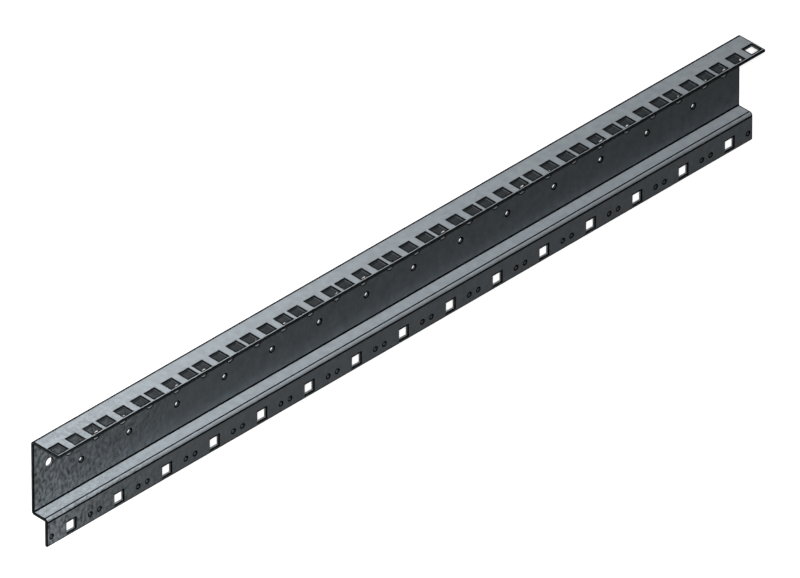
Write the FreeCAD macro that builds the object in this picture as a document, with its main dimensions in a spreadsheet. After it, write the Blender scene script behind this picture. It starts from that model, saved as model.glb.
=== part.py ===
"""Rack rail: one folded and punched steel profile, fifteen rack units long.

Frame, in millimetres: the rail lies on the back of its web, as it comes to rest.
+X runs along the rail, +Y across the web towards the flange with the square holes,
+Z stands up from the web. The origin is at the middle of the bottom of its bounding box.
"""
import FreeCAD, Part
import os
import Sketcher

# Driving sizes: alias, value, what it is
SIZES = [
    ("rack_unit", 44.45, "height of one rack unit"),
    ("units", 15, "rack units along the rail"),
    ("sheet", 2.0, "thickness of the sheet"),
    ("bend_radius", 0.5, "inside radius of each bend"),
    ("web_height", 57.5, "outer face of the top flange to the upper face of the ledge"),
    ("flange_width", 26.0, "back of the web to the front edge of the top flange"),
    ("ledge_depth", 14.5, "back of the web to the front face of the lower flange"),
    ("lower_height", 22.0, "upper face of the ledge to the edge of the lower flange"),
    ("square_side", 9.5, "side of each square hole for a cage nut"),
    ("square_edge", 2.0, "metal between the square holes and the flange's front edge"),
    ("unit_gap", 12.7, "spacing of the two square holes that meet between rack units"),
    ("window_side", 9.5, "side of each square window in the lower flange"),
    ("window_edge", 2.0, "metal between the windows and the lower flange's edge"),
    ("rivet_bore", 4.2, "diameter of the small holes beside the windows"),
    ("rivet_inset", 4.225, "small holes from the ends of their rack unit"),
    ("joint_bore", 5.2, "diameter of the web holes between two rack units"),
    ("joint_depth", 36.6, "those holes below the top flange's outer face"),
    ("row_bore", 8.2, "diameter of the holes in the web's upper row"),
    ("row_depth", 24.0, "the upper row below the top flange's outer face"),
    ("row_pitch", 25.0, "spacing along the upper row"),
    ("end_inset", 15.0, "the upper row's end holes from the rail's ends"),
]
SIZE = {alias: value for alias, value, note in SIZES}

# Formulas for the lengths and places that follow from the sizes
LENGTH = "(Sizes.units * Sizes.rack_unit)"
HALF_HEIGHT = "((Sizes.web_height + Sizes.lower_height) / 2)"
LEDGE = "(%s - Sizes.web_height)" % HALF_HEIGHT
FIRST_UNIT = "((Sizes.rack_unit - %s) / 2)" % LENGTH
SQUARE_STEP = "((Sizes.rack_unit - Sizes.unit_gap) / 2)"
SQUARE_LINE = "(Sizes.flange_width - Sizes.square_edge - Sizes.square_side / 2)"
RIVET_STEP = "(Sizes.rack_unit / 2 - Sizes.rivet_inset)"
WINDOW_LINE = "(Sizes.window_edge + Sizes.window_side / 2 - %s)" % HALF_HEIGHT
JOINT_LINE = "(%s - Sizes.joint_depth)" % HALF_HEIGHT
ROW_LINE = "(%s - Sizes.row_depth)" % HALF_HEIGHT
ROW_COUNT = "floor((%s - 2 * Sizes.end_inset) / Sizes.row_pitch)" % LENGTH

# Points of a sketch element, and the sketch's own axis and origin
START, END, CENTRE = range(1, 4)
SKETCH_X_AXIS = -1
ORIGIN = (SKETCH_X_AXIS, START)
CLOSE = 1e-4

doc = FreeCAD.newDocument("RackRail")
sheet = doc.addObject("Spreadsheet::Sheet", "Sizes")
for line, (alias, value, note) in enumerate(SIZES, start=1):
    sheet.set("A%d" % line, alias)
    sheet.set("B%d" % line, str(value))
    sheet.setAlias("B%d" % line, alias)
    sheet.set("C%d" % line, note)
doc.recompute()

rail = doc.addObject("PartDesign::Body", "rack_rail")
rail.Label = "rack_rail"


def origin_feature(role):
    """The body's own origin plane or axis with this role."""
    return next(item for item in rail.Origin.OriginFeatures if item.Role == role)


def new_sketch(name, plane):
    """An empty sketch on one of the body's origin planes."""
    sketch = rail.newObject("Sketcher::SketchObject", name)
    sketch.AttachmentSupport = (origin_feature(plane), [""])
    sketch.MapMode = "FlatFace"
    return sketch


def vector(x, y, z=0):
    return FreeCAD.Vector(x, y, z)


def constrain(sketch, kind, *ends):
    return sketch.addConstraint(Sketcher.Constraint(kind, *ends))


def drawn_size(sketch, kind, ends):
    """The size that a dimension would have as the sketch is drawn so far."""
    if kind == "Radius":
        return sketch.Geometry[ends[0]].Radius
    if kind == "Diameter":
        return 2 * sketch.Geometry[ends[0]].Radius
    step = sketch.getPoint(*ends[2:]) - sketch.getPoint(*ends[:2])
    return step.x if kind == "DistanceX" else step.y


def dimension(sketch, kind, *ends, formula):
    """A dimension of the sketch, first as drawn, which then follows a formula."""
    index = constrain(sketch, kind, *ends, drawn_size(sketch, kind, ends))
    sketch.setExpression("Constraints[%d]" % index, formula)


def place(sketch, end, x=None, y=None):
    """Dimensions from the sketch's origin to one of its points."""
    if x is not None:
        dimension(sketch, "DistanceX", *ORIGIN, *end, formula=x)
    if y is not None:
        dimension(sketch, "DistanceY", *ORIGIN, *end, formula=y)


def add_lines(sketch, corners):
    """A closed run of lines, each level or upright; returns the lines' indices."""
    lines = []
    for here, there in zip(corners, corners[1:] + corners[:1]):
        index = sketch.addGeometry(Part.LineSegment(here, there), False)
        level = abs(here.y - there.y) < abs(here.x - there.x)
        constrain(sketch, "Horizontal" if level else "Vertical", index)
        lines.append(index)
    for here, there in zip(lines, lines[1:] + lines[:1]):
        constrain(sketch, "Coincident", here, END, there, START)
    return lines


def add_square(sketch, x, y, side):
    """A square hole whose centre and side are formulas."""
    lines = add_lines(sketch, [vector(1, 1), vector(2, 1), vector(2, 2), vector(1, 2)])
    constrain(sketch, "Equal", lines[0], lines[1])
    dimension(sketch, "DistanceX", lines[0], START, lines[0], END, formula=side)
    place(sketch, (lines[0], START), "%s - %s / 2" % (x, side), "%s - %s / 2" % (y, side))


def add_circle(sketch, x, y, bore):
    """A round hole whose centre and diameter are formulas."""
    index = sketch.addGeometry(Part.Circle(vector(1, 1), vector(0, 0, 1), 1), False)
    place(sketch, (index, CENTRE), x, y)
    dimension(sketch, "Diameter", index, formula=bore)


def draw_profile():
    """The section with sharp corners: sketch x is the rail's Y, sketch y its Z."""
    sketch = new_sketch("profile_sketch", "YZ_Plane")
    thick = SIZE["sheet"]
    half = (SIZE["web_height"] + SIZE["lower_height"]) / 2
    ledge = half - SIZE["web_height"]
    front = SIZE["flange_width"]
    low = SIZE["ledge_depth"]
    lines = add_lines(sketch, [
        vector(half, front),
        vector(half, 0),
        vector(ledge - thick, 0),
        vector(ledge - thick, low - thick),
        vector(-half, low - thick),
        vector(-half, low),
        vector(ledge, low),
        vector(ledge, thick),
        vector(half - thick, thick),
        vector(half - thick, front),
    ])
    flange_outer, web_back, ledge_under, lower_back, lower_edge = lines[:5]
    lower_front, ledge_top, web_front, flange_inner, flange_edge = lines[5:]
    constrain(sketch, "PointOnObject", web_back, START, SKETCH_X_AXIS)
    place(sketch, (flange_outer, START), HALF_HEIGHT, "Sizes.flange_width")
    place(sketch, (ledge_top, START), x=LEDGE)
    place(sketch, (lower_front, START), "-" + HALF_HEIGHT, "Sizes.ledge_depth")
    dimension(sketch, "DistanceX", flange_edge, START, flange_edge, END, formula="Sizes.sheet")
    dimension(sketch, "DistanceY", web_back, END, web_front, START, formula="Sizes.sheet")
    dimension(sketch, "DistanceX", ledge_under, START, ledge_top, END, formula="Sizes.sheet")
    dimension(sketch, "DistanceY", lower_edge, START, lower_edge, END, formula="Sizes.sheet")
    inside = [(lower_back, START), (ledge_top, END), (web_front, END)]
    outside = [(web_back, START), (web_back, END), (ledge_top, START)]
    return sketch, inside, outside


def draw_squares():
    """One rack unit's three square holes, seen on the top flange: sketch y is the rail's Z."""
    sketch = new_sketch("square_sketch", "XZ_Plane")
    for step in ("- " + SQUARE_STEP, "", "+ " + SQUARE_STEP):
        add_square(sketch, FIRST_UNIT + step, SQUARE_LINE, "Sizes.square_side")
    return sketch


def draw_windows():
    """One rack unit's window and its two small holes in the lower flange."""
    sketch = new_sketch("window_sketch", "XY_Plane")
    add_square(sketch, FIRST_UNIT, WINDOW_LINE, "Sizes.window_side")
    for sign in "-+":
        add_circle(sketch, FIRST_UNIT + sign + RIVET_STEP, WINDOW_LINE, "Sizes.rivet_bore")
    return sketch


def draw_joint_hole():
    """The web hole between the first two rack units."""
    sketch = new_sketch("joint_sketch", "XY_Plane")
    add_circle(sketch, "Sizes.rack_unit - %s / 2" % LENGTH, JOINT_LINE, "Sizes.joint_bore")
    return sketch


def draw_row_hole():
    """The first of the evenly spaced holes in the web's upper row, which is centred."""
    sketch = new_sketch("row_sketch", "XY_Plane")
    first = "-(%s - 1) * Sizes.row_pitch / 2" % ROW_COUNT
    add_circle(sketch, first, ROW_LINE, "Sizes.row_bore")
    return sketch


def draw_end_holes():
    """The holes that end the web's upper row."""
    sketch = new_sketch("end_sketch", "XY_Plane")
    for sign in ("-", ""):
        add_circle(sketch, "%s(%s / 2 - Sizes.end_inset)" % (sign, LENGTH), ROW_LINE, "Sizes.row_bore")
    return sketch


def pad_profile(sketch):
    """The folded strip, the same length to each side of the middle."""
    pad = rail.newObject("PartDesign::Pad", "profile")
    pad.Profile = sketch
    pad.SideType = "Symmetric"
    pad.setExpression("Length", LENGTH)
    doc.recompute()


def round_bends(name, sketch, corners, radius):
    """Rounds the edges along the rail that stand on these corners of its section."""
    spots = [sketch.getPoint(*corner) for corner in corners]
    edges = []
    for number, edge in enumerate(rail.Shape.Edges, start=1):
        middle = edge.CenterOfMass
        if any(middle.distanceToPoint(vector(0, spot.x, spot.y)) < CLOSE for spot in spots):
            edges.append("Edge%d" % number)
    if len(edges) != len(corners):
        raise RuntimeError("%s finds %d edges" % (name, len(edges)))
    fillet = rail.newObject("PartDesign::Fillet", name)
    fillet.Base = (fillet.BaseFeature, edges)
    fillet.setExpression("Radius", radius)
    doc.recompute()


def punch(name, sketch, reverse):
    """Holes through whatever lies on one side of the sketch, which has to be some metal."""
    before = rail.Shape.Volume
    pocket = rail.newObject("PartDesign::Pocket", name)
    pocket.Profile = sketch
    pocket.Type = "ThroughAll"
    pocket.Reversed = reverse
    doc.recompute()
    if not pocket.Shape.Volume < before:
        raise RuntimeError("%s cuts nothing" % name)
    return pocket


def repeat(name, pocket, spacing, count):
    """Copies of punched holes along the rail."""
    single = pocket.Shape.Volume
    pattern = rail.newObject("PartDesign::LinearPattern", name)
    pattern.Originals = [pocket]
    pattern.Direction = (origin_feature("X_Axis"), [""])
    pattern.Mode = "Spacing"
    pattern.setExpression("Offset", spacing)
    pattern.setExpression("Occurrences", count)
    rail.Tip = pattern
    doc.recompute()
    if not pattern.Shape.Volume < single:
        raise RuntimeError("%s cuts nothing" % name)


def check():
    """Stops on a failed object, or a shape that isn't one valid solid."""
    for item in doc.Objects:
        if {"Invalid", "Error"} & set(item.State):
            raise RuntimeError("%s failed" % item.Name)
    shape = rail.Shape
    if shape.isNull() or not shape.isValid() or len(shape.Solids) != 1:
        raise RuntimeError("rack_rail isn't one valid solid")


profile, inside_corners, outside_corners = draw_profile()
pad_profile(profile)
round_bends("inside_bends", profile, inside_corners, "Sizes.bend_radius")
round_bends("outside_bends", profile, outside_corners, "Sizes.bend_radius + Sizes.sheet")
squares = punch("square_hole", draw_squares(), False)
repeat("square_holes", squares, "Sizes.rack_unit", "Sizes.units")
windows = punch("window", draw_windows(), True)
repeat("windows", windows, "Sizes.rack_unit", "Sizes.units")
joint_hole = punch("joint_hole", draw_joint_hole(), True)
repeat("joint_holes", joint_hole, "Sizes.rack_unit", "Sizes.units - 1")
row_hole = punch("row_hole", draw_row_hole(), True)
repeat("row_holes", row_hole, "Sizes.row_pitch", ROW_COUNT)
punch("end_holes", draw_end_holes(), True)
check()

os.makedirs("parts", exist_ok=True)
rail.Shape.exportStep("parts/%s.step" % rail.Label)
box = rail.Shape.BoundBox
print("rack_rail %.2f x %.2f x %.2f mm" % (box.XLength, box.YLength, box.ZLength))
print("volume %.1f mm3, %d faces" % (rail.Shape.Volume, len(rail.Shape.Faces)))
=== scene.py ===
"""Rack rail: the folded and punched steel rail, its finish, the floor, the lights and the camera.

Lengths are in metres. The rail lies on the back of its web: X runs along it,
Y across the web towards the flange with the square holes, and Z stands up from the floor.
"""
import math

import bpy
from bpy.props import FloatProperty, FloatVectorProperty, IntProperty, PointerProperty
from bpy.types import Operator, Panel, PropertyGroup
from mathutils import Matrix, Vector


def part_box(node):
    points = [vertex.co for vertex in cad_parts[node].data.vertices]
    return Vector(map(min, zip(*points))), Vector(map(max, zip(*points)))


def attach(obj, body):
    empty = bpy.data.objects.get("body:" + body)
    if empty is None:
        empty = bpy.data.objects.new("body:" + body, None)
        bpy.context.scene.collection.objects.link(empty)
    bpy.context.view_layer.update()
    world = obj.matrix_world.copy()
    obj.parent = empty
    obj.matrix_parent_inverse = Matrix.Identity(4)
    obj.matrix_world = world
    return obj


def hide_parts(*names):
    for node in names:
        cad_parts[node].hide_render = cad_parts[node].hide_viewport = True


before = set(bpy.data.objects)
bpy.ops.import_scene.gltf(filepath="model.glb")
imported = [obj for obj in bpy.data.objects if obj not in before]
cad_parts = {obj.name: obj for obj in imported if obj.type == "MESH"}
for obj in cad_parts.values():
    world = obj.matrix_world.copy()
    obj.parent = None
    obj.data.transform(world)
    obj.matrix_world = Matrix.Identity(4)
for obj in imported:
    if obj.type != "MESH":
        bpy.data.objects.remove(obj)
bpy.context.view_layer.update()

bl_info = {
    "name": "Rack Rail",
    "version": (1, 0, 0),
    "blender": (4, 5, 0),
    "location": "View3D > Sidebar > Rack Rail",
    "description": "Builds a folded and punched rack rail, its finish and a plain studio",
    "category": "Object",
}

NODE = "rack_rail"
BODY = "root"
RAIL_LOW, RAIL_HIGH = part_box(NODE)
MM = 0.001
CLOSE = 1e-7
PICTURE = Vector((800, 578))
TO_CAMERA = Vector((-1, 1, 1)).normalized()
CLIP_START = 1
# The last slot is painted shade inside the small round holes.
SHEET, CUT, LINE, BORE_SHADE = range(4)

# The dark shares of a bend: on the back of the flange's bend, and at each end of the ledge's nose.
HEEL_SHARE = 5 / 12
NOSE_SHARE = 1 / 6

# The stretch of the dimples along each axis, and the detail of the noise that makes them.
DIMPLE_STRETCH = (1, 0.6, 1)
DIMPLE_DETAIL = 2

# The grain's fineness and depth against those of the dimples.
GRAIN_FINENESS = 6
GRAIN_DEPTH = 0.04

# The patches' fineness against that of the dimples, and the detail of their noise.
PATCH_FINENESS = 0.45
PATCH_DETAIL = 3

# Noise values over which the patches and the painted glints go from none to full.
PATCH_RANGE = (0.35, 0.65)
PAINTED_GLINT_RANGE = (0.5, 1.5)

# Roughness that the noise of the dimples adds.
ROUGHNESS_SPREAD = 0.16


class RailSizes(PropertyGroup):
    """Sizes of the folded and punched rail"""

    length: FloatProperty(
        name="Length",
        description="From end to end",
        default=RAIL_HIGH.x - RAIL_LOW.x,
        unit="LENGTH",
    )
    height: FloatProperty(
        name="Height",
        description="Top flange's outer face to the lower flange's edge",
        default=RAIL_HIGH.y - RAIL_LOW.y,
        unit="LENGTH",
    )
    flange_width: FloatProperty(
        name="Flange width",
        description="Back of the web to the top flange's front edge",
        default=RAIL_HIGH.z - RAIL_LOW.z,
        unit="LENGTH",
    )
    sheet: FloatProperty(
        name="Sheet",
        description="Thickness of the sheet",
        default=2 * MM,
        unit="LENGTH",
    )
    bend_radius: FloatProperty(
        name="Bend radius",
        description="Inside radius of each bend",
        default=0.5 * MM,
        unit="LENGTH",
    )
    web_height: FloatProperty(
        name="Web height",
        description="Top flange's outer face to the ledge's upper face",
        default=57.5 * MM,
        unit="LENGTH",
    )
    ledge_depth: FloatProperty(
        name="Ledge depth",
        description="Back of the web to the lower flange's front face",
        default=14.5 * MM,
        unit="LENGTH",
    )
    units: IntProperty(
        name="Units",
        description="Rack units along the rail",
        default=15,
    )
    rack_unit: FloatProperty(
        name="Rack unit",
        description="Height of one rack unit",
        default=44.45 * MM,
        unit="LENGTH",
    )
    square_side: FloatProperty(
        name="Square side",
        description="Side of each square hole",
        default=9.5 * MM,
        unit="LENGTH",
    )
    square_edge: FloatProperty(
        name="Square edge",
        description="Metal between the square holes and the flange's front edge",
        default=2 * MM,
        unit="LENGTH",
    )
    unit_gap: FloatProperty(
        name="Unit gap",
        description="Spacing of the two square holes that meet between rack units",
        default=12.7 * MM,
        unit="LENGTH",
    )
    window_side: FloatProperty(
        name="Window side",
        description="Side of each window in the lower flange",
        default=9.5 * MM,
        unit="LENGTH",
    )
    window_edge: FloatProperty(
        name="Window edge",
        description="Metal between the windows and the lower flange's edge",
        default=2 * MM,
        unit="LENGTH",
    )
    rivet_bore: FloatProperty(
        name="Rivet bore",
        description="Diameter of the small holes beside the windows",
        default=4.2 * MM,
        unit="LENGTH",
    )
    rivet_inset: FloatProperty(
        name="Rivet inset",
        description="Small holes from the ends of their rack unit",
        default=4.225 * MM,
        unit="LENGTH",
    )
    joint_bore: FloatProperty(
        name="Joint bore",
        description="Diameter of the web holes between two rack units",
        default=5.2 * MM,
        unit="LENGTH",
    )
    joint_depth: FloatProperty(
        name="Joint depth",
        description="Those holes below the top flange's outer face",
        default=36.6 * MM,
        unit="LENGTH",
    )
    row_bore: FloatProperty(
        name="Row bore",
        description="Diameter of the holes in the web's upper row",
        default=8.2 * MM,
        unit="LENGTH",
    )
    row_depth: FloatProperty(
        name="Row depth",
        description="The upper row below the top flange's outer face",
        default=24 * MM,
        unit="LENGTH",
    )
    row_pitch: FloatProperty(
        name="Row pitch",
        description="Spacing along the upper row",
        default=25 * MM,
        unit="LENGTH",
    )
    end_inset: FloatProperty(
        name="End inset",
        description="The upper row's end holes from the rail's ends",
        default=15 * MM,
        unit="LENGTH",
    )
    edge_break: FloatProperty(
        name="Edge break",
        description="Width of the small flat along every cut edge",
        default=0.15 * MM,
        unit="LENGTH",
    )
    edge_band: FloatProperty(
        name="Edge band",
        description="Width of the dark band on the sheet's sides along the outer edges",
        default=0.75 * MM,
        unit="LENGTH",
    )
    hole_band: FloatProperty(
        name="Hole band",
        description="Width of the dark ring round a square hole and of the bands in each wall",
        default=0.45 * MM,
        unit="LENGTH",
    )
    bore_band: FloatProperty(
        name="Bore band",
        description="How far the dark ring of a small round hole reaches beyond it",
        default=0.2 * MM,
        unit="LENGTH",
    )
    row_band: FloatProperty(
        name="Row band",
        description="Width of the dark ring round a hole in the web's upper row",
        default=0.45 * MM,
        unit="LENGTH",
    )
    cut_band: FloatProperty(
        name="Cut band",
        description="Width of the dark bands on the sheared faces of the long edges and the ends",
        default=0.8 * MM,
        unit="LENGTH",
    )
    hole_lip: FloatProperty(
        name="Hole lip",
        description="How far the rolled rim of each hole stands into it",
        default=0.65 * MM,
        unit="LENGTH",
    )
    # Beside the inner bend between web and ledge, this band is painted shade in the crease as well
    # as a dark line.
    crease_band: FloatProperty(
        name="Crease band",
        description="Width of the dark bands beside the ledge's two bends",
        default=0.8 * MM,
        unit="LENGTH",
    )
    nose_band: FloatProperty(
        name="Nose band",
        description="Width of the dark band on the ledge where it starts to bend down",
        default=0.5 * MM,
        unit="LENGTH",
    )
    heel_band: FloatProperty(
        name="Heel band",
        description="Width of the dark band on the top flange beside its bend",
        default=0.4 * MM,
        unit="LENGTH",
    )
    hole_margin: FloatProperty(
        name="Hole margin",
        description="Least width of the faces between a hole's band and its cell's side",
        default=0.2 * MM,
        unit="LENGTH",
    )
    circle_points: IntProperty(
        name="Circle points",
        description="Points round each round hole, a multiple of eight",
        default=32,
    )
    bend_steps: IntProperty(
        name="Bend steps",
        description="Flats across each bend",
        default=12,
    )


class FinishSettings(PropertyGroup):
    """Colours and texture of the sheet and its cut edges"""

    light_steel: FloatVectorProperty(
        name="Light steel",
        description="Lighter colour of the sheet's mottled surface",
        default=(0.342, 0.38, 0.409),
        subtype="COLOR",
    )
    dark_steel: FloatVectorProperty(
        name="Dark steel",
        description="Darker colour of the sheet's mottled surface",
        default=(0.297, 0.33, 0.355),
        subtype="COLOR",
    )
    cut_steel: FloatVectorProperty(
        name="Cut steel",
        description="Colour of the sheared and punched faces",
        default=(0.17, 0.187, 0.2),
        subtype="COLOR",
    )
    # Painted shade: the walls inside the small round holes are coloured dark as if in shade.
    bore_shade_colour: FloatVectorProperty(
        name="Bore colour",
        description="Colour inside the small round holes",
        default=(0.05, 0.055, 0.059),
        subtype="COLOR",
    )
    line_colour: FloatVectorProperty(
        name="Line colour",
        description="Colour of the dark lines along the cut edges and beside the bends",
        default=(0.012, 0.013, 0.014),
        subtype="COLOR",
    )
    roughness: FloatProperty(
        name="Roughness",
        description="Roughness of the sheet",
        default=0.28,
    )
    cut_roughness: FloatProperty(
        name="Cut roughness",
        description="Roughness of the cut faces and the dark lines",
        default=0.6,
    )
    gloss: FloatProperty(
        name="Gloss",
        description="Specular level of the sheet",
        default=0.03,
    )
    mottle_size: FloatProperty(
        name="Mottle size",
        description="Spacing of the dimples in the sheet",
        default=2.5 * MM,
        unit="LENGTH",
    )
    mottle_depth: FloatProperty(
        name="Mottle depth",
        description="Depth of the dimples near the rail's left end",
        default=2.6 * MM,
        unit="LENGTH",
    )
    # This share also scales the painted glints farther along.
    mottle_rest: FloatProperty(
        name="Mottle rest",
        description="Depth of the dimples farther along, as a part of that depth",
        default=0.1,
    )
    # Painted glints: light and dark specks painted into the colour near the left end, standing in
    # for a light's sheen there.
    painted_glint: FloatProperty(
        name="Fleck",
        description="Strength of the light and dark flecks near the rail's left end",
        default=22.0,
    )
    # The painted glints are weaker on faces that stand across the web, since that sheen fell on
    # faces looking up.
    side_painted_glint: FloatProperty(
        name="Side fleck",
        description="Share of the flecks left on the faces that stand across the web",
        default=0.3,
    )
    # This reach also bounds the painted glints.
    mottle_reach: FloatProperty(
        name="Mottle reach",
        description="How far from the left end the deep dimples reach",
        default=150 * MM,
        unit="LENGTH",
    )


class StudioSettings(PropertyGroup):
    """Floor, lights and camera"""

    floor_colour: FloatVectorProperty(
        name="Floor colour",
        description="Colour of the floor",
        default=(0.9, 0.9, 0.9),
        subtype="COLOR",
    )
    floor_size: FloatProperty(
        name="Floor size",
        description="Side of the floor",
        default=14.0,
        unit="LENGTH",
    )
    floor_glow: FloatProperty(
        name="Floor glow",
        description="Brightness that the floor shows besides the light on it",
        default=0.6,
    )
    sky: FloatProperty(
        name="Sky",
        description="Light of the room on matt surfaces",
        default=0.015,
    )
    softbox_size: FloatProperty(
        name="Softbox size",
        description="Side of each low softbox",
        default=0.1,
        unit="LENGTH",
    )
    key_power: FloatProperty(
        name="Key power",
        description="Power of the low softbox near the rail's left end",
        default=4.15,
        unit="POWER",
    )
    key_place: FloatVectorProperty(
        name="Key place",
        description="Middle of that softbox",
        default=(-0.48, 0.65, 0.035),
        subtype="TRANSLATION",
        unit="LENGTH",
    )
    fill_power: FloatProperty(
        name="Fill power",
        description="Power of the softbox that faces the top flange",
        default=19.8,
        unit="POWER",
    )
    fill_place: FloatVectorProperty(
        name="Fill place",
        description="Middle of that softbox",
        default=(0.45, 2.2, 0.04),
        subtype="TRANSLATION",
        unit="LENGTH",
    )
    back_power: FloatProperty(
        name="Back power",
        description="Power of the softbox behind the lower flange",
        default=6.5,
        unit="POWER",
    )
    back_place: FloatVectorProperty(
        name="Back place",
        description="Middle of that softbox",
        default=(-0.3, -1.6, 0.44),
        subtype="TRANSLATION",
        unit="LENGTH",
    )
    top_power: FloatProperty(
        name="Top power",
        description="Power of the softbox overhead",
        default=0.68,
        unit="POWER",
    )
    top_place: FloatVectorProperty(
        name="Top place",
        description="Middle of that softbox",
        default=(-0.2, 0.7, 1.2),
        subtype="TRANSLATION",
        unit="LENGTH",
    )
    top_size: FloatProperty(
        name="Top size",
        description="Side of that softbox",
        default=0.5,
        unit="LENGTH",
    )
    end_power: FloatProperty(
        name="End power",
        description="Power of the softbox over the rail's left end",
        default=0.024,
        unit="POWER",
    )
    end_place: FloatVectorProperty(
        name="End place",
        description="Middle of that softbox",
        default=(-0.38, -0.03, 0.09),
        subtype="TRANSLATION",
        unit="LENGTH",
    )
    end_size: FloatProperty(
        name="End size",
        description="Side of that softbox",
        default=0.04,
        unit="LENGTH",
    )
    shade_strength: FloatProperty(
        name="Shade strength",
        description="Strength of the soft sun whose light falls on the floor alone",
        default=2.4,
    )
    shade_angle: FloatProperty(
        name="Shade angle",
        description="Width of that sun",
        default=math.radians(7),
        subtype="ANGLE",
    )
    middle_pixels: FloatVectorProperty(
        name="Middle pixels",
        description="Where the middle of the rail's box shows in the picture",
        default=(401.9, 291.7),
        size=2,
    )
    unit_pixels: FloatProperty(
        name="Unit pixels",
        description="Width of one rack unit in the picture",
        default=47.07,
    )
    camera_distance: FloatProperty(
        name="Camera distance",
        description="Camera to the middle of the picture",
        default=18.0,
        unit="LENGTH",
    )
    sensor: FloatProperty(
        name="Sensor",
        description="Width of the camera's sensor in millimetres",
        default=36.0,
    )


class FlatPart:
    """A flat part of the folded sheet, whose back starts at a point and runs one way."""

    def __init__(self, start, along, across, width):
        self.start = Vector(start)
        self.along = Vector(along)
        self.across = Vector(across)
        self.width = width

    def place(self, run, depth):
        """The section's point at this distance along the part and this depth from its back."""
        return self.start + self.along * run + self.across * depth

    def facing(self, run):
        """The direction that the front faces, the same at every run."""
        return self.across


class BentPart:
    """A bend, whose front lies outward from its back or, with outward -1, inward.

    It turns from its first direction to its last, and a run along it is an angle.
    """

    def __init__(self, centre, first, last, back_radius, outward):
        self.centre = Vector(centre)
        self.first = Vector(first)
        self.last = Vector(last)
        self.back_radius = back_radius
        self.outward = outward
        self.width = math.pi / 2

    def ray(self, run):
        """The direction from the bend's centre at this angle."""
        return self.first * math.cos(run) + self.last * math.sin(run)

    def place(self, run, depth):
        """The section's point at this angle and this depth from the back."""
        return self.centre + self.ray(run) * (self.back_radius + self.outward * depth)

    def facing(self, run):
        """The direction that the front faces at this angle."""
        return self.ray(run) * self.outward


def folded_parts(sizes):
    """The parts of the section as (Y, Z), from the top flange's edge to the lower flange's."""
    thick = sizes.sheet
    inner = sizes.bend_radius
    outer = inner + thick
    half = sizes.height / 2
    ledge = half - sizes.web_height
    low = sizes.ledge_depth
    front = sizes.flange_width
    return {
        "flange": FlatPart((half, front), (0, -1), (-1, 0), front - outer),
        "flange_bend": BentPart((half - outer, outer), (1, 0), (0, -1), outer, -1),
        "web": FlatPart((half - outer, 0), (-1, 0), (0, 1), half - outer - ledge - inner),
        "web_bend": BentPart((ledge + inner, outer), (0, -1), (-1, 0), outer, -1),
        "ledge": FlatPart((ledge - thick, outer), (0, 1), (1, 0), low - 2 * outer),
        "ledge_bend": BentPart((ledge - outer, low - outer), (1, 0), (0, 1), inner, 1),
        "lower": FlatPart((ledge - outer, low - thick), (-1, 0), (0, 1), half + ledge - outer),
    }


class Hole:
    """A punched hole, with its middle at x along the rail and at a run along its flat part.

    Its dark ring reaches beyond its outline by ring_reach, and wall is its wall's material.
    With bare_left, the left half of the ring has the sheet's own colour.
    """

    def __init__(self, x, run, size, ring_reach, points=4, wall=CUT, bare_left=False):
        self.x = x
        self.run = run
        self.half = size / 2
        self.ring_reach = ring_reach
        self.points = points
        self.is_round = points > 4
        self.wall = wall
        self.bare_left = bare_left

    def outline(self, grow):
        """The hole's outline, larger all round by grow."""
        half = self.half + grow
        if not self.is_round:
            return self.cell(half, half)
        turn = 2 * math.pi / self.points
        return [
            (self.x + half * math.cos(turn * k), self.run + half * math.sin(turn * k))
            for k in range(self.points)
        ]

    def cell(self, half_x, half_run):
        """The rectangle round the hole, with one point for each point of the outline."""
        turn = 2 * math.pi / self.points
        first = 0 if self.is_round else turn / 2
        spots = []
        for k in range(self.points):
            x = math.cos(first + turn * k)
            y = math.sin(first + turn * k)
            reach = max(abs(x), abs(y))
            spots.append((self.x + half_x * x / reach, self.run + half_run * y / reach))
        return spots


def square_row(sizes, middles):
    """The square holes in the top flange, three to each rack unit."""
    run = sizes.square_edge + sizes.square_side / 2
    step = (sizes.rack_unit - sizes.unit_gap) / 2
    spots = [x + k * step for x in middles for k in (-1, 0, 1)]
    return [Hole(x, run, sizes.square_side, sizes.hole_band) for x in spots]


def web_row(sizes, corner):
    """The web's upper row: evenly spaced holes about the middle, and one at each end."""
    count = math.floor((sizes.length - 2 * sizes.end_inset) / sizes.row_pitch)
    spots = [(k - (count - 1) / 2) * sizes.row_pitch for k in range(count)]
    last = sizes.length / 2 - sizes.end_inset
    run = sizes.row_depth - corner
    ring_reach = sizes.row_band - sizes.hole_lip
    points = sizes.circle_points
    return [Hole(x, run, sizes.row_bore, ring_reach, points) for x in sorted(spots + [-last, last])]


def joint_row(sizes, corner):
    """The web's holes at the joints between rack units."""
    spots = [n * sizes.rack_unit - sizes.length / 2 for n in range(1, sizes.units)]
    run = sizes.joint_depth - corner
    points = sizes.circle_points
    return [Hole(x, run, sizes.joint_bore, sizes.bore_band, points, BORE_SHADE) for x in spots]


def lower_row(sizes, middles, corner):
    """The lower flange's windows, each with a small hole on either side."""
    height = sizes.height - sizes.web_height
    run = height - corner - sizes.window_edge - sizes.window_side / 2
    reach = sizes.rack_unit / 2 - sizes.rivet_inset
    points = sizes.circle_points
    row = []
    for x in middles:
        row.append(Hole(x - reach, run, sizes.rivet_bore, sizes.bore_band, points, BORE_SHADE))
        row.append(Hole(x, run, sizes.window_side, sizes.hole_band, bare_left=True))
        row.append(Hole(x + reach, run, sizes.rivet_bore, sizes.bore_band, points, BORE_SHADE))
    return row


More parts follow.
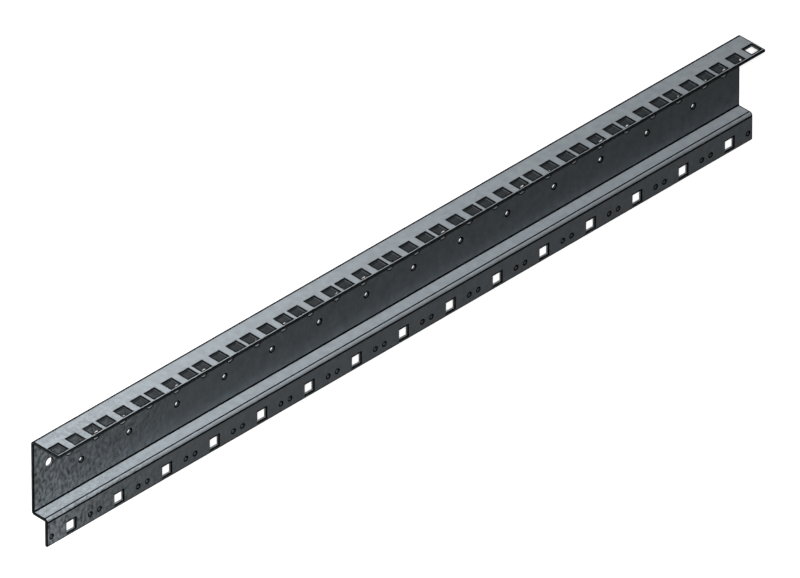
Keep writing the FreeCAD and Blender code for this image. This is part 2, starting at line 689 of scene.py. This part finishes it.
def hole_rows(sizes):
    """The rows of holes in each flat part, in order along it."""
    corner = sizes.bend_radius + sizes.sheet
    middles = [(n + 0.5) * sizes.rack_unit - sizes.length / 2 for n in range(sizes.units)]
    return {
        "flange": [square_row(sizes, middles)],
        "web": [web_row(sizes, corner), joint_row(sizes, corner)],
        "lower": [lower_row(sizes, middles, corner)],
    }


def cell_half(sizes, half):
    """Half the cell that a hole of this half size stands in."""
    return half + sizes.hole_band + sizes.hole_margin


def row_half(sizes, row):
    """Half the height of a row's cells."""
    return cell_half(sizes, max(hole.half for hole in row))


def zipped(one, other, axis):
    """Triangles between two runs of points, both in order along an axis."""
    triangles = []
    i = j = 0
    while i + 1 < len(one) or j + 1 < len(other):
        here = one[i + 1][axis] if i + 1 < len(one) else math.inf
        there = other[j + 1][axis] if j + 1 < len(other) else math.inf
        if here <= there:
            triangles.append([one[i], one[i + 1], other[j]])
            i += 1
        else:
            triangles.append([one[i], other[j + 1], other[j]])
            j += 1
    return triangles


def ring(inner, outer):
    """Quads between two closed outlines with the same number of points."""
    return [[inner[k - 1], outer[k - 1], outer[k], inner[k]] for k in range(len(inner))]


def side_of(spots, axis, value):
    """The points that lie on one side of a cell, in order along it."""
    found = [spot for spot in spots if abs(spot[axis] - value) < CLOSE]
    return sorted(found, key=lambda spot: spot[1 - axis])


def flat_layout(sizes, low, high, reach, rows):
    """Faces of a flat part between two runs, to reach along X each way, with their materials.

    Each hole stands in a cell of its own, and strips of triangles join the cells.
    """
    dark = []
    plain = []
    before = [(-reach, low), (reach, low)]
    for row in rows:
        half_run = row_half(sizes, row)
        bottom = row[0].run - half_run
        top = row[0].run + half_run
        left = [(-reach, bottom), (-reach, top)]
        bottom_side = left[:1]
        top_side = left[1:]
        for hole in row:
            half_x = cell_half(sizes, hole.half)
            cell = hole.cell(half_x, half_run)
            band = hole.outline(hole.ring_reach)
            for face in ring(hole.outline(-sizes.hole_lip), band):
                if hole.bare_left and all(x < hole.x for x, run in face):
                    plain.append(face)
                else:
                    dark.append(face)
            plain += ring(band, cell)
            plain += zipped(left, side_of(cell, 0, hole.x - half_x), 1)
            left = side_of(cell, 0, hole.x + half_x)
            bottom_side += side_of(cell, 1, bottom)
            top_side += side_of(cell, 1, top)
        plain += zipped(left, [(reach, bottom), (reach, top)], 1)
        plain += zipped(before, bottom_side + [(reach, bottom)], 0)
        before = top_side + [(reach, top)]
    plain += zipped(before, [(-reach, high), (reach, high)], 0)
    return [(face, LINE) for face in dark] + [(face, SHEET) for face in plain]


class RailMesh:
    """Collects the rail's points and faces, and the direction that each corner faces."""

    def __init__(self):
        self.points = []
        self.index = {}
        self.faces = []
        self.slots = []
        self.normals = []

    def vertex(self, point):
        """The number of the vertex at this point, a new one where there is none."""
        key = tuple(round(value / CLOSE) for value in point)
        if key not in self.index:
            self.index[key] = len(self.points)
            self.points.append(tuple(point))
        return self.index[key]

    def add(self, points, facings, material):
        """A face with one direction for each corner, turned to face that way."""
        order = list(range(len(points)))
        spots = [Vector(point) for point in points]
        turn = sum((spots[n - 1].cross(spots[n]) for n in order), Vector((0, 0, 0)))
        if turn.dot(sum((Vector(facing) for facing in facings), Vector((0, 0, 0)))) < 0:
            order.reverse()
        self.faces.append([self.vertex(points[n]) for n in order])
        self.normals += [Vector(facings[n]).normalized() for n in order]
        self.slots.append(material)

    def made(self, name):
        """The finished mesh."""
        mesh = bpy.data.meshes.new(name)
        mesh.from_pydata(self.points, [], self.faces)
        mesh.polygons.foreach_set("material_index", self.slots)
        mesh.polygons.foreach_set("use_smooth", [True] * len(self.faces))
        mesh.normals_split_custom_set(self.normals)
        return mesh


def solid(part, x, run, depth):
    """A point of the folded sheet."""
    return (x, *part.place(run, depth))


def add_flat_sides(mesh, part, sizes, layout):
    """Both sides of a flat part, its back and its front."""
    for depth, sign in ((0, -1), (sizes.sheet, 1)):
        facing = (0, *(part.facing(0) * sign))
        for spots, material in layout:
            points = [solid(part, x, run, depth) for x, run in spots]
            mesh.add(points, [facing] * len(points), material)


def edge_levels(sizes, mouth, wall, band, middle=CUT):
    """The steps of a cut edge, from the back to the front.

    Each is the (depth, place) where it starts, the one where it ends, its tilt and its material.
    """
    depths = [0, sizes.edge_break, band]
    depths += [sizes.sheet - depth for depth in reversed(depths)]
    levels = list(zip(depths, (mouth, wall, wall, wall, wall, mouth)))
    return list(zip(levels, levels[1:], (-1, 0, 0, 0, 1), (LINE, LINE, middle, LINE, LINE)))


def add_hole_wall(mesh, part, sizes, hole):
    """The wall of a hole and the small flats round both its mouths."""
    front = Vector((0, *part.facing(0)))
    middle = Vector(solid(part, hole.x, hole.run, 0))
    rim = [Vector(solid(part, *spot, 0)) for spot in hole.outline(0)]
    inward = [(middle - spot).normalized() for spot in rim]
    lip = sizes.hole_lip
    levels = edge_levels(sizes, -lip, -lip - sizes.edge_break, sizes.hole_band, hole.wall)
    for (near, near_grow), (far, far_grow), tilt, material in levels:
        near_spots = hole.outline(near_grow)
        far_spots = hole.outline(far_grow)
        for k in range(hole.points):
            points = [solid(part, *near_spots[n], near) for n in (k - 1, k)]
            points += [solid(part, *far_spots[n], far) for n in (k, k - 1)]
            ways = [inward[k - 1], inward[k]]
            if not hole.is_round:
                ways = [(ways[0] + ways[1]).normalized()] * 2
            mesh.add(points, [way + front * tilt for way in ways + ways[::-1]], material)


def long_bands(sizes, name, part):
    """A flat part's bands along X, as (low, high, sides), where 1 is the front, -1 the back."""
    cut = sizes.edge_break
    grow = cut + sizes.edge_band
    wide = part.width
    return {
        "flange": [(cut, grow, (-1, 1)), (wide - sizes.heel_band, wide, (-1,))],
        # The web's band beside its bend into the ledge is painted crease shade as well as a dark
        # line.
        "web": [(wide - sizes.crease_band, wide, (1,))],
        "ledge": [(wide - sizes.nose_band, wide, (1,))],
        "lower": [(0, sizes.crease_band, (1,)), (wide - grow, wide - cut, (-1, 1))],
    }[name]


def open_range(sizes, name, part):
    """The runs between which a flat part is free of bands."""
    bands = long_bands(sizes, name, part)
    low = max([0] + [high for start, high, sides in bands if high < part.width / 2])
    high = min([part.width] + [start for start, high, sides in bands if start > part.width / 2])
    return low, high


def step_runs(sizes, name, part, rows):
    """The runs at which a part's faces near the rail's ends are divided."""
    if isinstance(part, BentPart):
        return [part.width * k / sizes.bend_steps for k in range(sizes.bend_steps + 1)]
    ends = set(open_range(sizes, name, part))
    for low, high, sides in long_bands(sizes, name, part):
        ends |= {low, high}
    for row in rows:
        half_run = row_half(sizes, row)
        ends |= {row[0].run - half_run, row[0].run + half_run}
    return sorted(ends)


def middle_material(sizes, name, part, low, high, sign):
    """Material of the step between two runs away from the rail's ends, or None for no face."""
    if isinstance(part, FlatPart):
        for start, stop, sides in long_bands(sizes, name, part):
            if start - CLOSE < low and high < stop + CLOSE:
                return LINE if sign in sides else SHEET
        return None
    middle = (low + high) / 2 / part.width
    lines = {
        "flange_bend": sign < 0 and middle < HEEL_SHARE,
        # The inner face of the bend between web and ledge is painted shade in that crease, drawn as
        # a dark line.
        "web_bend": sign > 0,
        "ledge_bend": sign > 0 and not NOSE_SHARE < middle < 1 - NOSE_SHARE,
    }
    return LINE if lines[name] else SHEET


def add_steps(mesh, name, part, sizes, runs):
    """A part's bend steps, its bands along the rail's edges and ends, and the ends' cut faces."""
    end = sizes.length / 2 - sizes.edge_break
    reach = end - sizes.edge_band
    for low, high in zip(runs, runs[1:]):
        around = (low, low, high, high)
        for depth, sign in ((0, -1), (sizes.sheet, 1)):
            bands = [(-end, -reach, LINE), (reach, end, LINE)]
            material = middle_material(sizes, name, part, low, high, sign)
            if material is not None:
                bands.append((-reach, reach, material))
            facings = [(0, *(part.facing(run) * sign)) for run in around]
            for left, right, material in bands:
                xs = (left, right, right, left)
                points = [solid(part, x, run, depth) for x, run in zip(xs, around)]
                mesh.add(points, facings, material)
        for side in (-1, 1):
            add_end_step(mesh, part, sizes, low, high, side)


def add_end_step(mesh, part, sizes, low, high, side):
    """The cut face at one end of the rail and its small flats, between two runs."""
    end = sizes.length / 2
    runs = (low, high, high, low)
    levels = edge_levels(sizes, end - sizes.edge_break, end, sizes.cut_band)
    for (near, near_x), (far, far_x), tilt, material in levels:
        xs = (near_x, near_x, far_x, far_x)
        depths = (near, near, far, far)
        points = [solid(part, side * x, run, depth) for x, run, depth in zip(xs, runs, depths)]
        facings = [(side, *(part.facing(run) * tilt)) for run in runs]
        mesh.add(points, facings, material)


def add_long_edge(mesh, part, sizes, run, sign):
    """The sheared face along one long edge, its small flats and its two corners."""
    thick = sizes.sheet
    cut = sizes.edge_break
    end = sizes.length / 2
    outward = Vector((0, *(part.along * -sign)))
    front = Vector((0, *part.across))
    reach = end - cut - sizes.edge_band
    stops = (cut - end, -reach, reach, end - cut)
    levels = edge_levels(sizes, run + sign * cut, run, sizes.cut_band)
    for (near, near_run), (far, far_run), tilt, material in levels:
        for left, right in zip(stops, stops[1:]):
            spots = [(left, near_run, near), (right, near_run, near)]
            spots += [(right, far_run, far), (left, far_run, far)]
            points = [solid(part, *spot) for spot in spots]
            mesh.add(points, [outward + front * tilt] * 4, material)
    for side in (-1, 1):
        corner = outward + Vector((side, 0, 0))
        near = (side * (end - cut), run)
        far = (side * end, run + sign * cut)
        for start, stop, *rest in levels[1:-1]:
            low = start[0]
            high = stop[0]
            spots = [(*near, low), (*near, high), (*far, high), (*far, low)]
            mesh.add([solid(part, *spot) for spot in spots], [corner] * 4, LINE)
        for depth, inner, tilt in ((0, cut, -1), (thick, thick - cut, 1)):
            spots = [(*near, inner), (*far, inner), (near[0], far[1], depth)]
            mesh.add([solid(part, *spot) for spot in spots], [corner + front * tilt] * 3, LINE)


def build_rail_mesh(sizes):
    """The whole rail: both sides, the hole walls, the long edges and the two ends."""
    mesh = RailMesh()
    rows = hole_rows(sizes)
    reach = sizes.length / 2 - sizes.edge_break - sizes.edge_band
    parts = folded_parts(sizes)
    for name, part in parts.items():
        own_rows = rows.get(name, [])
        add_steps(mesh, name, part, sizes, step_runs(sizes, name, part, own_rows))
        if isinstance(part, BentPart):
            continue
        low, high = open_range(sizes, name, part)
        add_flat_sides(mesh, part, sizes, flat_layout(sizes, low, high, reach, own_rows))
        for row in own_rows:
            for hole in row:
                add_hole_wall(mesh, part, sizes, hole)
    add_long_edge(mesh, parts["flange"], sizes, 0, 1)
    add_long_edge(mesh, parts["lower"], sizes, parts["lower"].width, -1)
    return mesh.made("rolled_rail")


def new_group(name, inputs, outputs):
    """An empty shader node group; returns its tree, its input node and its output node."""
    tree = bpy.data.node_groups.new(name, "ShaderNodeTree")
    for label, kind, value in inputs:
        tree.interface.new_socket(label, in_out="INPUT", socket_type=kind).default_value = value
    for label, kind in outputs:
        tree.interface.new_socket(label, in_out="OUTPUT", socket_type=kind)
    return tree, tree.nodes.new("NodeGroupInput"), tree.nodes.new("NodeGroupOutput")


def add_node(tree, kind, **settings):
    """A node with these settings."""
    node = tree.nodes.new(kind)
    for name, value in settings.items():
        setattr(node, name, value)
    return node


def noise(tree, place, scale, detail):
    """A noise texture on these coordinates."""
    node = add_node(tree, "ShaderNodeTexNoise")
    node.inputs["Scale"].default_value = scale
    node.inputs["Detail"].default_value = detail
    tree.links.new(place, node.inputs["Vector"])
    return node.outputs["Fac"]


def feed(tree, value, socket):
    """Links an output to a socket, or sets a number on it."""
    if isinstance(value, bpy.types.NodeSocket):
        tree.links.new(value, socket)
    else:
        socket.default_value = value


def worked_out(tree, operation, *values):
    """The output of a math node on these values, each an output or a number."""
    node = add_node(tree, "ShaderNodeMath", operation=operation)
    for value, socket in zip(values, node.inputs):
        feed(tree, value, socket)
    return node.outputs["Value"]


def mapped(tree, value, source, target, **settings):
    """An output that is moved from one range to another."""
    node = add_node(tree, "ShaderNodeMapRange", **settings)
    tree.links.new(value, node.inputs["Value"])
    for label, number in zip(("From Min", "From Max", "To Min", "To Max"), (*source, *target)):
        node.inputs[label].default_value = number
    return node.outputs["Result"]


def part_of(tree, vector, label):
    """One coordinate of a vector: X, Y or Z."""
    node = add_node(tree, "ShaderNodeSeparateXYZ")
    tree.links.new(vector, node.inputs["Vector"])
    return node.outputs[label]


def mottle_group(finish, left):
    """The sheet's mottled colour, roughness and dimples, deepest near its left end, where painted
    glints speckle the colour.
    """
    tree, inputs, outputs = new_group(
        "Mottle",
        [
            ("Light", "NodeSocketColor", (0.4, 0.4, 0.4, 1)),
            ("Dark", "NodeSocketColor", (0.3, 0.3, 0.3, 1)),
            ("Roughness", "NodeSocketFloat", 0.4),
        ],
        [
            ("Base Color", "NodeSocketColor"),
            ("Roughness", "NodeSocketFloat"),
            ("Height", "NodeSocketFloat"),
        ],
    )
    place = add_node(tree, "ShaderNodeTexCoord")
    stretch = add_node(tree, "ShaderNodeMapping")
    stretch.inputs["Scale"].default_value = DIMPLE_STRETCH
    tree.links.new(place.outputs["Object"], stretch.inputs["Vector"])
    stretched = stretch.outputs["Vector"]
    dimples = noise(tree, stretched, 1 / finish.mottle_size, DIMPLE_DETAIL)
    fine = GRAIN_FINENESS / finish.mottle_size
    grain = noise(tree, place.outputs["Object"], fine, DIMPLE_DETAIL)
    patches = noise(tree, stretched, PATCH_FINENESS / finish.mottle_size, PATCH_DETAIL)

    along = part_of(tree, place.outputs["Object"], "X")
    reach = (left, left + finish.mottle_reach)
    fade = mapped(tree, along, reach, (1, finish.mottle_rest), interpolation_type="SMOOTHSTEP")
    # Painted glints: specks painted into the colour, strongest near the left end and on faces that
    # look up.
    upward = part_of(tree, place.outputs["Normal"], "Z")
    flat = mapped(tree, upward, (0, 1), (finish.side_painted_glint, 1))
    strength = worked_out(tree, "MULTIPLY", fade, flat)
    painted_glints = mapped(tree, dimples, PAINTED_GLINT_RANGE, (0, finish.painted_glint), clamp=False)
    spread = mapped(tree, patches, PATCH_RANGE, (0, 1))
    share = worked_out(tree, "MULTIPLY_ADD", painted_glints, strength, spread)

    colour = add_node(tree, "ShaderNodeMix", data_type="RGBA", clamp_factor=False)
    tree.links.new(share, colour.inputs["Factor"])
    tree.links.new(inputs.outputs["Dark"], colour.inputs["A"])
    tree.links.new(inputs.outputs["Light"], colour.inputs["B"])
    base = inputs.outputs["Roughness"]
    rough = worked_out(tree, "MULTIPLY_ADD", dimples, ROUGHNESS_SPREAD, base)
    height = worked_out(tree, "MULTIPLY_ADD", grain, GRAIN_DEPTH, dimples)
    faded = worked_out(tree, "MULTIPLY", height, fade)
    tree.links.new(colour.outputs["Result"], outputs.inputs["Base Color"])
    tree.links.new(rough, outputs.inputs["Roughness"])
    tree.links.new(faded, outputs.inputs["Height"])
    return tree


def sheet_material(finish, left):
    """The mottled steel sheet, whose left end lies at this X."""
    material = bpy.data.materials.new("rolled_steel")
    material.use_nodes = True
    tree = material.node_tree
    shader = tree.nodes["Principled BSDF"]
    shader.inputs["Specular IOR Level"].default_value = finish.gloss
    mottle = add_node(tree, "ShaderNodeGroup", node_tree=mottle_group(finish, left))
    mottle.inputs["Light"].default_value = (*finish.light_steel, 1)
    mottle.inputs["Dark"].default_value = (*finish.dark_steel, 1)
    mottle.inputs["Roughness"].default_value = finish.roughness
    bump = add_node(tree, "ShaderNodeBump")
    bump.inputs["Distance"].default_value = finish.mottle_depth
    tree.links.new(mottle.outputs["Base Color"], shader.inputs["Base Color"])
    tree.links.new(mottle.outputs["Roughness"], shader.inputs["Roughness"])
    tree.links.new(mottle.outputs["Height"], bump.inputs["Height"])
    tree.links.new(bump.outputs["Normal"], shader.inputs["Normal"])
    return material


def plain_material(name, colour, roughness, gloss):
    """A material of one colour."""
    material = bpy.data.materials.new(name)
    material.use_nodes = True
    shader = material.node_tree.nodes["Principled BSDF"]
    shader.inputs["Base Color"].default_value = (*colour, 1)
    shader.inputs["Roughness"].default_value = roughness
    shader.inputs["Specular IOR Level"].default_value = gloss
    return material


class RACKRAIL_OT_build_rail(Operator):
    """Builds the folded and punched rail with its finish"""

    bl_idname = "rackrail.build_rail"
    bl_label = "Build Rail"

    def execute(self, context):
        sizes = context.scene.rail_sizes
        finish = context.scene.rail_finish
        if sizes.circle_points % 8:
            raise ValueError("The points round a hole are a multiple of eight")
        mesh = build_rail_mesh(sizes)
        rail = bpy.data.objects.new("rolled_rail", mesh)
        context.scene.collection.objects.link(rail)
        rough = finish.cut_roughness
        materials = {
            SHEET: sheet_material(finish, -sizes.length / 2),
            CUT: plain_material("cut_steel", finish.cut_steel, rough, finish.gloss),
            LINE: plain_material("dark_line", finish.line_colour, rough, 0),
            # Painted shade inside the small round holes.
            BORE_SHADE: plain_material("painted_bore_shade", finish.bore_shade_colour, rough, finish.gloss),
        }
        for slot in sorted(materials):
            mesh.materials.append(materials[slot])
        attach(rail, BODY)
        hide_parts(NODE)
        return {"FINISHED"}


def background_ray(tree):
    """An output that is 1 where the camera sees a surface, also in gloss or through glass."""
    path = add_node(tree, "ShaderNodeLightPath")
    seen = path.outputs["Is Camera Ray"]
    for label in ("Is Glossy Ray", "Is Transmission Ray"):
        seen = worked_out(tree, "MAXIMUM", seen, path.outputs[label])
    return seen


def floor_material(studio):
    """A pale floor that shows nearly white and still takes a shadow."""
    material = bpy.data.materials.new("floor")
    material.use_nodes = True
    tree = material.node_tree
    tree.nodes.clear()
    matt = add_node(tree, "ShaderNodeBsdfDiffuse")
    matt.inputs["Color"].default_value = (*studio.floor_colour, 1)
    glow = add_node(tree, "ShaderNodeEmission")
    strength = worked_out(tree, "MULTIPLY", background_ray(tree), studio.floor_glow)
    tree.links.new(strength, glow.inputs["Strength"])
    both = add_node(tree, "ShaderNodeAddShader")
    tree.links.new(matt.outputs["BSDF"], both.inputs[0])
    tree.links.new(glow.outputs["Emission"], both.inputs[1])
    output = add_node(tree, "ShaderNodeOutputMaterial")
    tree.links.new(both.outputs["Shader"], output.inputs["Surface"])
    return material


def make_floor(context, studio):
    """The floor under the rail, which throws no light back on it."""
    half = studio.floor_size / 2
    mesh = bpy.data.meshes.new("floor")
    corners = [(-half, -half, 0), (half, -half, 0), (half, half, 0), (-half, half, 0)]
    mesh.from_pydata(corners, [], [(0, 1, 2, 3)])
    mesh.materials.append(floor_material(studio))
    floor = bpy.data.objects.new("floor", mesh)
    floor.visible_diffuse = False
    context.scene.collection.objects.link(floor)
    return floor


def make_sky(context, studio):
    """A white room that gives matt surfaces little light."""
    world = bpy.data.worlds.new("room")
    context.scene.world = world
    world.use_nodes = True
    tree = world.node_tree
    background = tree.nodes["Background"]
    background.inputs["Color"].default_value = (1, 1, 1, 1)
    strength = worked_out(tree, "MAXIMUM", background_ray(tree), studio.sky)
    tree.links.new(strength, background.inputs["Strength"])


def make_light(context, name, place, aim, size, power, shadow=False):
    """A square softbox that faces a point, and that no picture or gloss shows."""
    data = bpy.data.lights.new(name, "AREA")
    data.shape = "SQUARE"
    data.size = size
    data.energy = power
    data.use_shadow = shadow
    light = bpy.data.objects.new(name, data)
    light.location = place
    light.rotation_mode = "QUATERNION"
    light.rotation_quaternion = (Vector(aim) - Vector(place)).to_track_quat("-Z", "Y")
    light.visible_camera = False
    light.visible_glossy = False
    context.scene.collection.objects.link(light)
    return light


def make_softboxes(context, sizes, studio):
    """The softboxes round the rail. Those behind it and overhead throw shadows."""
    middle = (0, 0, 0)
    left = (-sizes.length / 2, 0, 0)
    size = studio.softbox_size
    end_size = studio.end_size
    top_size = studio.top_size
    return [
        make_light(context, "key", studio.key_place, left, size, studio.key_power),
        make_light(context, "fill", studio.fill_place, middle, size, studio.fill_power),
        make_light(context, "end", studio.end_place, left, end_size, studio.end_power),
        make_light(context, "back", studio.back_place, middle, size, studio.back_power, True),
        make_light(context, "top", studio.top_place, middle, top_size, studio.top_power, True),
    ]


def make_shade(context, studio, floor):
    """A soft sun from the camera's side that throws the rail's shadow on the floor."""
    data = bpy.data.lights.new("shade", "SUN")
    data.energy = studio.shade_strength
    data.angle = studio.shade_angle
    shade = bpy.data.objects.new("shade", data)
    shade.rotation_mode = "QUATERNION"
    shade.rotation_quaternion = (-TO_CAMERA).to_track_quat("-Z", "Y")
    lit = bpy.data.collections.new("lit_by_shade")
    lit.objects.link(floor)
    shade.light_linking.receiver_collection = lit
    context.scene.collection.objects.link(shade)
    return shade


def make_camera(context, sizes, studio):
    """The camera, which sees the rail's three directions at the same slant.

    The rail's X and Z both run at 45 degrees to the direction that is the picture's right.
    """
    back = TO_CAMERA
    right = Vector((1, 0, 1)).normalized()
    up = Vector((1, 2, -1)).normalized()
    pixels_per_metre = studio.unit_pixels / sizes.rack_unit * math.sqrt(2)
    middle = Vector((0, 0, sizes.flange_width / 2))
    offset = (Vector(studio.middle_pixels) - PICTURE / 2) / pixels_per_metre
    aim = middle - right * offset.x + up * offset.y
    data = bpy.data.cameras.new("camera")
    data.sensor_width = studio.sensor
    data.lens = studio.camera_distance * pixels_per_metre * studio.sensor / PICTURE.x
    data.clip_start = CLIP_START
    data.clip_end = 2 * studio.camera_distance
    camera = bpy.data.objects.new("camera", data)
    axes = Matrix((right, up, back)).transposed().to_4x4()
    camera.matrix_world = Matrix.Translation(aim + back * studio.camera_distance) @ axes
    context.scene.collection.objects.link(camera)
    context.scene.camera = camera
    return camera


class RACKRAIL_OT_build_studio(Operator):
    """Lays the floor and sets up the lights and the camera"""

    bl_idname = "rackrail.build_studio"
    bl_label = "Build Studio"

    def execute(self, context):
        scene = context.scene
        studio = scene.rail_studio
        scene.view_settings.view_transform = "Standard"
        make_sky(context, studio)
        floor = make_floor(context, studio)
        lights = make_softboxes(context, scene.rail_sizes, studio)
        lights.append(make_shade(context, studio, floor))
        camera = make_camera(context, scene.rail_sizes, studio)
        return {"FINISHED"}


class RACKRAIL_PT_panel(Panel):
    """Sidebar panel with the rail's settings and operators"""

    bl_label = "Rack Rail"
    bl_idname = "RACKRAIL_PT_panel"
    bl_space_type = "VIEW_3D"
    bl_region_type = "UI"
    bl_category = "Rack Rail"

    def draw(self, context):
        scene = context.scene
        for operator, settings in (
            (RACKRAIL_OT_build_rail, (scene.rail_sizes, scene.rail_finish)),
            (RACKRAIL_OT_build_studio, (scene.rail_studio,)),
        ):
            box = self.layout.box()
            box.operator(operator.bl_idname)
            for group in settings:
                for name in group.__annotations__:
                    box.prop(group, name)


CLASSES = (
    RailSizes,
    FinishSettings,
    StudioSettings,
    RACKRAIL_OT_build_rail,
    RACKRAIL_OT_build_studio,
    RACKRAIL_PT_panel,
)


def register():
    """Makes the settings, operators and panel known to Blender."""
    for item in CLASSES:
        bpy.utils.register_class(item)
    bpy.types.Scene.rail_sizes = PointerProperty(type=RailSizes)
    bpy.types.Scene.rail_finish = PointerProperty(type=FinishSettings)
    bpy.types.Scene.rail_studio = PointerProperty(type=StudioSettings)


def unregister():
    """Takes them away again."""
    del bpy.types.Scene.rail_studio
    del bpy.types.Scene.rail_finish
    del bpy.types.Scene.rail_sizes
    for item in reversed(CLASSES):
        bpy.utils.unregister_class(item)


def main():
    register()
    bpy.ops.rackrail.build_rail()
    bpy.ops.rackrail.build_studio()


if __name__ == "__main__":
    main()
